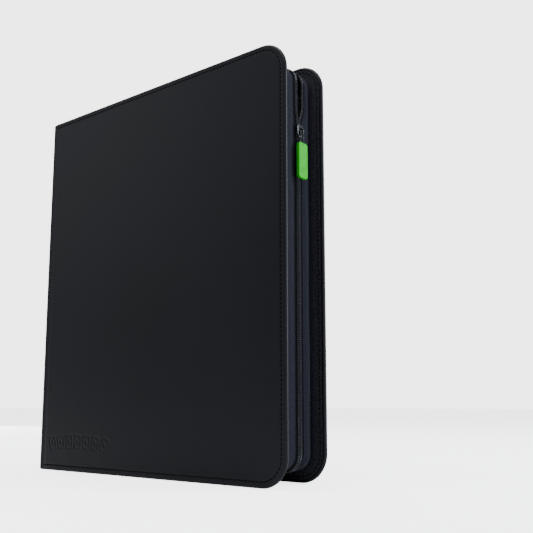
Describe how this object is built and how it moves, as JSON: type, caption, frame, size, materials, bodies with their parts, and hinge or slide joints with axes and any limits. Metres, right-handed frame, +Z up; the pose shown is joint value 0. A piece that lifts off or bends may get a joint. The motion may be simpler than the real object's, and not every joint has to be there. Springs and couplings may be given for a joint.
{
  "type": "zip trading card binder",
  "caption": "Upright zip-closed card binder: two soft black covers, a zipped fabric gusset with a green pull, and hinged pocket pages inside.",
  "frame": {"origin": "middle of the bottom of the closed binder, on the surface it stands on", "axes": "+X from the spine to the fore edge, +Y from the front cover to the back cover, +Z up along the spine"},
  "size_m": [0.302, 0.055, 0.35],
  "materials": {
    "cover_leather": "matt smooth synthetic leather, very fine grain",
    "board": "raw greyboard",
    "lining": "matt black fabric lining",
    "gusset_fabric": "heathered navy-grey plain weave",
    "zip_tape": "woven herringbone tape",
    "zip_coil": "moulded nylon coil",
    "black_metal": "glossy black enamel on zinc",
    "steel": "plain",
    "green_rubber": "satin moulded rubber",
    "binding_plastic": "matt",
    "page_film": "black backing under clear pocket film"
  },
  "bodies": {
    "spine": {"spine_skin": "cover_leather", "front_hinge_strip": "cover_leather", "back_hinge_strip": "cover_leather", "spine_board": "board", "spine_lining": "lining", "page_binding": "binding_plastic", "zip_end_tab_top": "zip_tape", "zip_end_tab_bottom": "zip_tape"},
    "front_cover": {"front_cover_skin": "cover_leather", "front_board": "board", "front_lining": "lining", "front_gusset": "gusset_fabric", "front_zip_tape": "zip_tape", "front_zip_coil": "zip_coil", "front_zip_stops": "black_metal"},
    "back_cover": {"back_cover_skin": "cover_leather", "back_board": "board", "back_lining": "lining", "back_gusset": "gusset_fabric", "back_zip_tape": "zip_tape", "back_zip_coil": "zip_coil", "back_zip_stops": "black_metal"},
    "slider": {"slider_body": "black_metal", "slider_bridge": "black_metal", "slider_lock_pin": "steel"},
    "puller": {"pull_link": "black_metal", "pull_grip": "green_rubber"},
    "page_01": {"page_01": "page_film"},
    "page_02": {"page_02": "page_film"},
    "page_03": {"page_03": "page_film"},
    "page_04": {"page_04": "page_film"},
    "page_05": {"page_05": "page_film"},
    "page_06": {"page_06": "page_film"},
    "page_07": {"page_07": "page_film"},
    "page_08": {"page_08": "page_film"},
    "page_09": {"page_09": "page_film"},
    "page_10": {"page_10": "page_film"},
    "page_11": {"page_11": "page_film"},
    "page_12": {"page_12": "page_film"},
    "page_13": {"page_13": "page_film"},
    "page_14": {"page_14": "page_film"},
    "page_15": {"page_15": "page_film"},
    "page_16": {"page_16": "page_film"},
    "page_17": {"page_17": "page_film"},
    "page_18": {"page_18": "page_film"},
    "page_19": {"page_19": "page_film"},
    "page_20": {"page_20": "page_film"},
    "page_21": {"page_21": "page_film"},
    "page_22": {"page_22": "page_film"},
    "page_23": {"page_23": "page_film"},
    "page_24": {"page_24": "page_film"},
    "page_25": {"page_25": "page_film"},
    "page_26": {"page_26": "page_film"}
  },
  "joints": [
    {"name": "front_hinge", "type": "hinge", "parent": "spine", "child": "front_cover", "pos_m": [-0.151, -0.0275, 0.175], "axis": [0, 0, -1], "range_deg": [0, 90]},
    {"name": "back_hinge", "type": "hinge", "parent": "spine", "child": "back_cover", "pos_m": [-0.151, 0.0275, 0.175], "axis": [0, 0, 1], "range_deg": [0, 90]},
    {"name": "slider_slide", "type": "slide", "parent": "back_cover", "child": "slider", "axis": [0, 0, 1], "range_m": [-0.215, 0]},
    {"name": "puller_hinge", "type": "hinge", "parent": "slider", "child": "puller", "pos_m": [0.1444, 0.004, 0.2825], "axis": [0, -1, 0], "range_deg": [0, 150]},
    {"name": "page_01_turn", "type": "hinge", "parent": "spine", "child": "page_01", "pos_m": [-0.1425, -0.01875, 0.175], "axis": [0, 0, -1], "range_deg": [0, 83.3]},
    {"name": "page_02_turn", "type": "hinge", "parent": "spine", "child": "page_02", "pos_m": [-0.1425, -0.01725, 0.175], "axis": [0, 0, -1], "range_deg": [0, 76.85]},
    {"name": "page_03_turn", "type": "hinge", "parent": "spine", "child": "page_03", "pos_m": [-0.1425, -0.01575, 0.175], "axis": [0, 0, -1], "range_deg": [0, 70.4]},
    {"name": "page_04_turn", "type": "hinge", "parent": "spine", "child": "page_04", "pos_m": [-0.1425, -0.01425, 0.175], "axis": [0, 0, -1], "range_deg": [0, 63.95]},
    {"name": "page_05_turn", "type": "hinge", "parent": "spine", "child": "page_05", "pos_m": [-0.1425, -0.01275, 0.175], "axis": [0, 0, -1], "range_deg": [0, 57.5]},
    {"name": "page_06_turn", "type": "hinge", "parent": "spine", "child": "page_06", "pos_m": [-0.1425, -0.01125, 0.175], "axis": [0, 0, -1], "range_deg": [0, 51.05]},
    {"name": "page_07_turn", "type": "hinge", "parent": "spine", "child": "page_07", "pos_m": [-0.1425, -0.00975, 0.175], "axis": [0, 0, -1], "range_deg": [0, 44.6]},
    {"name": "page_08_turn", "type": "hinge", "parent": "spine", "child": "page_08", "pos_m": [-0.1425, -0.00825, 0.175], "axis": [0, 0, -1], "range_deg": [0, 38.15]},
    {"name": "page_09_turn", "type": "hinge", "parent": "spine", "child": "page_09", "pos_m": [-0.1425, -0.00675, 0.175], "axis": [0, 0, -1], "range_deg": [0, 31.7]},
    {"name": "page_10_turn", "type": "hinge", "parent": "spine", "child": "page_10", "pos_m": [-0.1425, -0.00525, 0.175], "axis": [0, 0, -1], "range_deg": [0, 25.25]},
    {"name": "page_11_turn", "type": "hinge", "parent": "spine", "child": "page_11", "pos_m": [-0.1425, -0.00375, 0.175], "axis": [0, 0, -1], "range_deg": [0, 18.8]},
    {"name": "page_12_turn", "type": "hinge", "parent": "spine", "child": "page_12", "pos_m": [-0.1425, -0.00225, 0.175], "axis": [0, 0, -1], "range_deg": [0, 12.35]},
    {"name": "page_13_turn", "type": "hinge", "parent": "spine", "child": "page_13", "pos_m": [-0.1425, -0.00075, 0.175], "axis": [0, 0, -1], "range_deg": [0, 5.9]},
    {"name": "page_14_turn", "type": "hinge", "parent": "spine", "child": "page_14", "pos_m": [-0.1425, 0.00075, 0.175], "axis": [0, 0, 1], "range_deg": [0, 5.9]},
    {"name": "page_15_turn", "type": "hinge", "parent": "spine", "child": "page_15", "pos_m": [-0.1425, 0.00225, 0.175], "axis": [0, 0, 1], "range_deg": [0, 12.35]},
    {"name": "page_16_turn", "type": "hinge", "parent": "spine", "child": "page_16", "pos_m": [-0.1425, 0.00375, 0.175], "axis": [0, 0, 1], "range_deg": [0, 18.8]},
    {"name": "page_17_turn", "type": "hinge", "parent": "spine", "child": "page_17", "pos_m": [-0.1425, 0.00525, 0.175], "axis": [0, 0, 1], "range_deg": [0, 25.25]},
    {"name": "page_18_turn", "type": "hinge", "parent": "spine", "child": "page_18", "pos_m": [-0.1425, 0.00675, 0.175], "axis": [0, 0, 1], "range_deg": [0, 31.7]},
    {"name": "page_19_turn", "type": "hinge", "parent": "spine", "child": "page_19", "pos_m": [-0.1425, 0.00825, 0.175], "axis": [0, 0, 1], "range_deg": [0, 38.15]},
    {"name": "page_20_turn", "type": "hinge", "parent": "spine", "child": "page_20", "pos_m": [-0.1425, 0.00975, 0.175], "axis": [0, 0, 1], "range_deg": [0, 44.6]},
    {"name": "page_21_turn", "type": "hinge", "parent": "spine", "child": "page_21", "pos_m": [-0.1425, 0.01125, 0.175], "axis": [0, 0, 1], "range_deg": [0, 51.05]},
    {"name": "page_22_turn", "type": "hinge", "parent": "spine", "child": "page_22", "pos_m": [-0.1425, 0.01275, 0.175], "axis": [0, 0, 1], "range_deg": [0, 57.5]},
    {"name": "page_23_turn", "type": "hinge", "parent": "spine", "child": "page_23", "pos_m": [-0.1425, 0.01425, 0.175], "axis": [0, 0, 1], "range_deg": [0, 63.95]},
    {"name": "page_24_turn", "type": "hinge", "parent": "spine", "child": "page_24", "pos_m": [-0.1425, 0.01575, 0.175], "axis": [0, 0, 1], "range_deg": [0, 70.4]},
    {"name": "page_25_turn", "type": "hinge", "parent": "spine", "child": "page_25", "pos_m": [-0.1425, 0.01725, 0.175], "axis": [0, 0, 1], "range_deg": [0, 76.85]},
    {"name": "page_26_turn", "type": "hinge", "parent": "spine", "child": "page_26", "pos_m": [-0.1425, 0.01875, 0.175], "axis": [0, 0, 1], "range_deg": [0, 83.3]}
  ],
  "couplings": [
    {"joint": "page_01_turn", "follows": "front_hinge", "ratio": 0.92},
    {"joint": "page_02_turn", "follows": "front_hinge", "ratio": 0.8483},
    {"joint": "page_03_turn", "follows": "front_hinge", "ratio": 0.7767},
    {"joint": "page_04_turn", "follows": "front_hinge", "ratio": 0.705},
    {"joint": "page_05_turn", "follows": "front_hinge", "ratio": 0.6333},
    {"joint": "page_06_turn", "follows": "front_hinge", "ratio": 0.5617},
    {"joint": "page_07_turn", "follows": "front_hinge", "ratio": 0.49},
    {"joint": "page_08_turn", "follows": "front_hinge", "ratio": 0.4183},
    {"joint": "page_09_turn", "follows": "front_hinge", "ratio": 0.3467},
    {"joint": "page_10_turn", "follows": "front_hinge", "ratio": 0.275},
    {"joint": "page_11_turn", "follows": "front_hinge", "ratio": 0.2033},
    {"joint": "page_12_turn", "follows": "front_hinge", "ratio": 0.1317},
    {"joint": "page_13_turn", "follows": "front_hinge", "ratio": 0.06},
    {"joint": "page_14_turn", "follows": "back_hinge", "ratio": 0.06},
    {"joint": "page_15_turn", "follows": "back_hinge", "ratio": 0.1317},
    {"joint": "page_16_turn", "follows": "back_hinge", "ratio": 0.2033},
    {"joint": "page_17_turn", "follows": "back_hinge", "ratio": 0.275},
    {"joint": "page_18_turn", "follows": "back_hinge", "ratio": 0.3467},
    {"joint": "page_19_turn", "follows": "back_hinge", "ratio": 0.4183},
    {"joint": "page_20_turn", "follows": "back_hinge", "ratio": 0.49},
    {"joint": "page_21_turn", "follows": "back_hinge", "ratio": 0.5617},
    {"joint": "page_22_turn", "follows": "back_hinge", "ratio": 0.6333},
    {"joint": "page_23_turn", "follows": "back_hinge", "ratio": 0.705},
    {"joint": "page_24_turn", "follows": "back_hinge", "ratio": 0.7767},
    {"joint": "page_25_turn", "follows": "back_hinge", "ratio": 0.8483},
    {"joint": "page_26_turn", "follows": "back_hinge", "ratio": 0.92}
  ]
}
